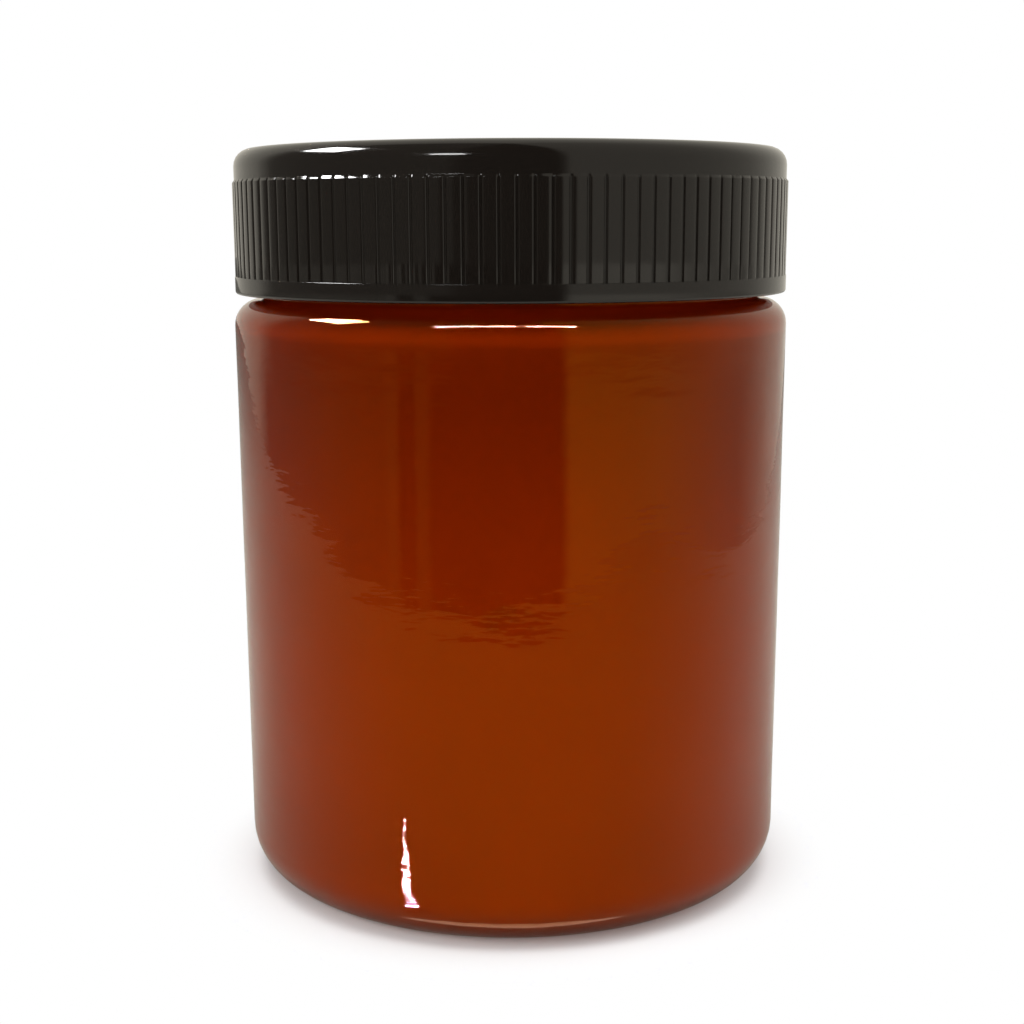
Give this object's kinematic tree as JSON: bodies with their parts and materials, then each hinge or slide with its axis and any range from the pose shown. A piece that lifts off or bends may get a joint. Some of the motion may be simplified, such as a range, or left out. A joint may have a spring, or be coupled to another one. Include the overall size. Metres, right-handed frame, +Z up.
{
  "type": "honey jar",
  "caption": "Straight-sided round glass jar filled with dark amber honey, with rounded shoulder and heel and a black ribbed screw cap.",
  "frame": {"origin": "middle of the ring under the base that the jar stands on", "axes": "+Z up along the jar's axis, towards the cap"},
  "size_m": [0.0664, 0.0664, 0.0881],
  "materials": {
    "glass": "gloss",
    "honey": "gloss",
    "cap": "satin"
  },
  "bodies": {
    "root": {"jar": "glass", "honey": "honey", "cap": "cap"}
  },
  "joints": []
}
